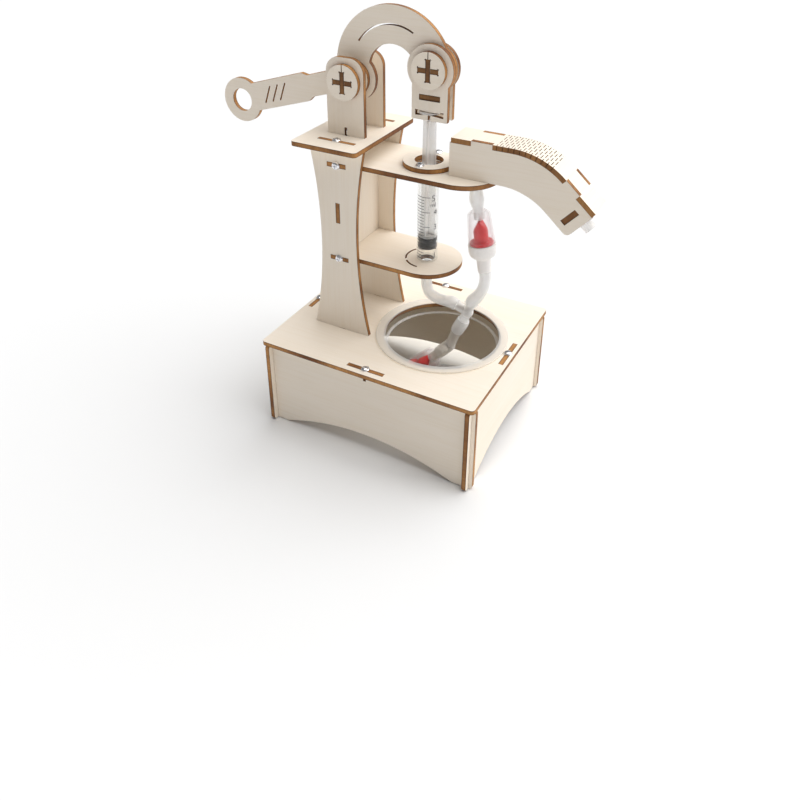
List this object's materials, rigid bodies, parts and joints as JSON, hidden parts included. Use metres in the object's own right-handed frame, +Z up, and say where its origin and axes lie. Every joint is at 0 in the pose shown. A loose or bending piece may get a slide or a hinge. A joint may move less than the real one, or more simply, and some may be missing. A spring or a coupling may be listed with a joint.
{
  "type": "hand pump model kit",
  "caption": "Hand pump model of interlocking plywood boards: a lever works a syringe, with check valves, hoses, a water cup and a curved spout.",
  "frame": {"origin": "middle of the whole kit's footprint, on the surface that it stands on", "axes": "+X from the column towards the spout, +Y towards the back, +Z up"},
  "size_m": [0.2551, 0.126, 0.2712],
  "materials": {
    "plywood": "satin",
    "clear_plastic": "gloss",
    "clear_hose": "gloss",
    "frosted_hose": "satin",
    "frosted_plastic": "satin",
    "white_plastic": "gloss",
    "red_silicone": "satin",
    "black_rubber": "satin",
    "screw_metal": "polished"
  },
  "bodies": {
    "root": {"base_plate": "plywood", "front_panel": "plywood", "back_panel": "plywood", "left_panel": "plywood", "right_panel": "plywood", "front_column_plate": "plywood", "back_column_plate": "plywood", "column_web": "plywood", "cap_plate": "plywood", "front_post": "plywood", "back_post": "plywood", "upper_shelf": "plywood", "lower_shelf": "plywood", "collar_ring": "plywood", "front_spout_side": "plywood", "back_spout_side": "plywood", "spout_top": "plywood", "spout_crosspiece": "plywood", "pivot_axle_flat": "plywood", "pivot_axle_upright": "plywood", "front_pivot_disc": "plywood", "back_pivot_disc": "plywood", "front_spacer_disc": "plywood", "back_spacer_disc": "plywood", "water_cup": "clear_plastic", "syringe_barrel": "clear_plastic", "outlet_valve_body": "clear_plastic", "intake_valve_body": "clear_plastic", "intake_tube": "clear_hose", "syringe_hose": "frosted_hose", "riser_hose": "frosted_hose", "lower_hose": "frosted_hose", "spout_hose": "frosted_hose", "tee_fitting": "frosted_plastic", "outlet_valve_cap": "white_plastic", "intake_valve_cap": "white_plastic", "outlet_duckbill": "red_silicone", "intake_duckbill": "red_silicone", "base_screws": "screw_metal", "cap_screws": "screw_metal", "post_screws": "screw_metal", "shelf_screws": "screw_metal", "collar_screws": "screw_metal"},
    "lever": {"lever_arm": "plywood"},
    "link": {"front_link_plate": "plywood", "back_link_plate": "plywood", "link_spacer": "plywood", "link_axle_flat": "plywood", "link_axle_upright": "plywood", "front_link_disc": "plywood", "back_link_disc": "plywood"},
    "plunger": {"plunger_rod": "frosted_plastic", "plunger_seal": "black_rubber"}
  },
  "joints": [
    {"name": "lever_pivot", "type": "hinge", "parent": "root", "child": "lever", "pos_m": [-0.0266, 0, 0.2268], "axis": [0, -1, 0], "range_deg": [-6.5, 13]},
    {"name": "link_pivot", "type": "hinge", "parent": "lever", "child": "link", "pos_m": [0.02465, 0, 0.23863], "axis": [0, -1, 0], "range_deg": [-8, 4]},
    {"name": "plunger_slide", "type": "slide", "parent": "root", "child": "plunger", "axis": [0, 0, 1], "range_m": [-0.0058, 0.0115]}
  ],
  "couplings": [
    {"joint": "link_pivot", "follows": "lever_pivot", "ratio": -0.55},
    {"joint": "plunger_slide", "follows": "lever_pivot", "m_per_rad": 0.0501}
  ]
}
